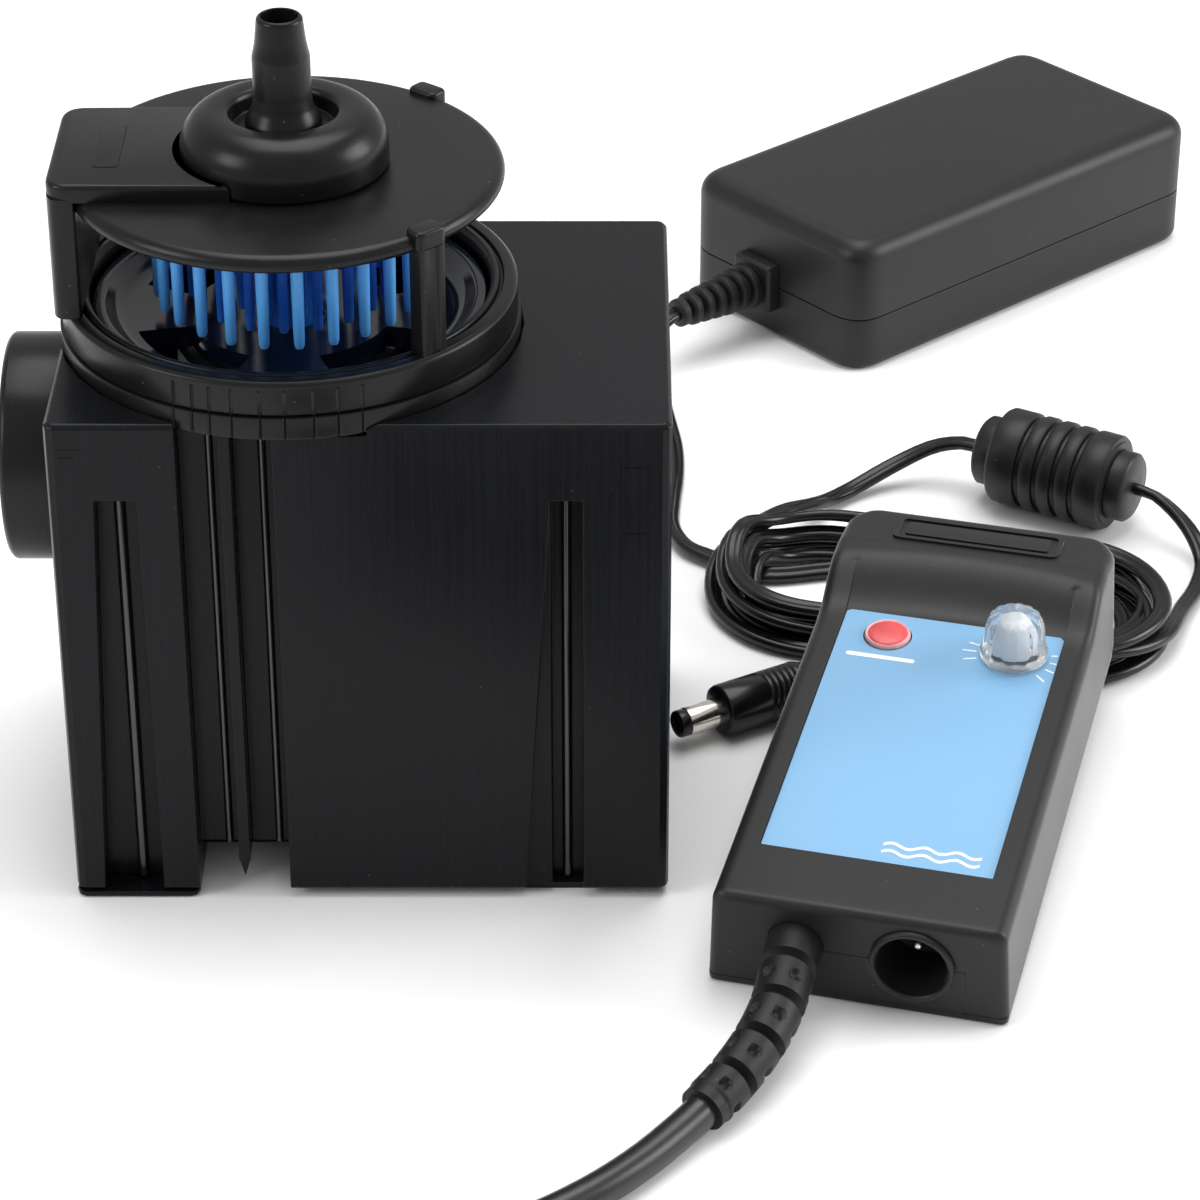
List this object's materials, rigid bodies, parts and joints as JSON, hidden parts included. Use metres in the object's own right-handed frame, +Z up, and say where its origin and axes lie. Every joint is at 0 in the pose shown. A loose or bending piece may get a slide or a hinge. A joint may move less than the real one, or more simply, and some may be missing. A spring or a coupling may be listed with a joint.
{
  "type": "aquarium foaming pump kit with food-timer controller",
  "caption": "Needle-wheel aquarium pump in a square block, with a slim controller holding a food-timer button and speed knob, a table-top supply and coiled leads.",
  "frame": {"origin": "on the underside of the pump's base mat, straight below the wheel's axis; the kit stands on this plane", "axes": "+Z up along the wheel's axis, +Y from the pump's front face to its back, +X from the outlet side across the block towards the controller"},
  "size_m": [0.2358, 0.4898, 0.1515],
  "materials": {
    "block_plastic": "satin black moulded plastic with faint vertical draw marks",
    "cage_plastic": "semi-gloss black moulded plastic",
    "wheel_plastic": "bright blue satin plastic",
    "case_plastic": "fine spark-eroded matt black plastic",
    "label_film": "light blue printed film",
    "button_plastic": "smooth red plastic",
    "knob_plastic": "clear frosted plastic",
    "rubber": "matt black moulded rubber",
    "cord_pvc": "glossy flexible black PVC",
    "steel": "plain steel",
    "nickel": "bright nickel plate",
    "magnet": "epoxy-coated ferrite magnet",
    "ceramic": "ground white ceramic",
    "copper": "lacquered copper winding",
    "board": "green laminate"
  },
  "bodies": {
    "base": {"block_housing": "block_plastic", "block_foot_cap": "block_plastic", "outlet_socket": "block_plastic", "volute_floor": "cage_plastic", "motor_can": "case_plastic", "controller_upper_shell": "case_plastic", "controller_lower_shell": "case_plastic", "button_switch": "case_plastic", "motor_driver": "case_plastic", "dc_jack": "case_plastic", "supply_upper_shell": "case_plastic", "supply_lower_shell": "case_plastic", "supply_capacitor": "case_plastic", "mains_inlet": "case_plastic", "ferrite_choke": "case_plastic", "controller_label": "label_film", "base_mat": "rubber", "outlet_seal": "rubber", "shaft_seat": "rubber", "motor_gland": "rubber", "supply_strain_relief": "rubber", "controller_strain_relief": "rubber", "motor_connector": "rubber", "dc_cord_head": "cord_pvc", "dc_cord_to_choke": "cord_pvc", "dc_cord_from_choke": "cord_pvc", "dc_cord_tail": "cord_pvc", "dc_hank": "cord_pvc", "dc_plug_body": "cord_pvc", "motor_cable": "cord_pvc", "motor_cable_coil": "cord_pvc", "motor_cable_end": "cord_pvc", "stator_core": "steel", "case_screw_1": "steel", "case_screw_2": "steel", "case_screw_3": "steel", "case_screw_4": "steel", "potentiometer": "steel", "supply_heat_sink": "steel", "dc_plug_barrel": "nickel", "inlet_pin_1": "nickel", "inlet_pin_2": "nickel", "rotor_shaft": "ceramic", "stator_winding": "copper", "supply_transformer": "copper", "controller_board": "board", "supply_board": "board"},
    "rotor": {"needle_wheel": "wheel_plastic", "rotor_magnet": "magnet"},
    "bayonet": {"bayonet_ring": "cage_plastic"},
    "cage": {"cage_ring": "cage_plastic", "cage_disc": "cage_plastic", "cage_wall": "cage_plastic", "cage_arm": "cage_plastic", "cage_pillar_front": "cage_plastic", "cage_pillar_rear": "cage_plastic"},
    "air_cap": {"dome_cap": "cage_plastic", "air_nipple": "cage_plastic"},
    "button": {"timer_button": "button_plastic"},
    "knob": {"speed_knob": "knob_plastic"}
  },
  "joints": [
    {"name": "rotor_spin", "type": "hinge", "parent": "base", "child": "rotor", "pos_m": [0, 0, 0.1195], "axis": [0, 0, 1], "continuous": true},
    {"name": "cage_twist", "type": "hinge", "parent": "base", "child": "bayonet", "pos_m": [0, 0, 0.0951], "axis": [0, 0, 1], "range_deg": [0, 20]},
    {"name": "cage_lift", "type": "slide", "parent": "bayonet", "child": "cage", "axis": [0, 0, 1], "range_m": [0, 0.035]},
    {"name": "air_cap_lift", "type": "slide", "parent": "cage", "child": "air_cap", "axis": [0, 0, 1], "range_m": [0, 0.012]},
    {"name": "timer_button_press", "type": "slide", "parent": "base", "child": "button", "axis": [0.026, 0.0958, -0.9951], "range_m": [0, 0.0008], "stiffness_N_per_m": 500, "springref_m": -0.0006},
    {"name": "speed_knob_turn", "type": "hinge", "parent": "base", "child": "knob", "pos_m": [0.12769, 0.00034, 0.02773], "axis": [-0.026, -0.0958, 0.9951], "range_deg": [-135, 135]}
  ]
}
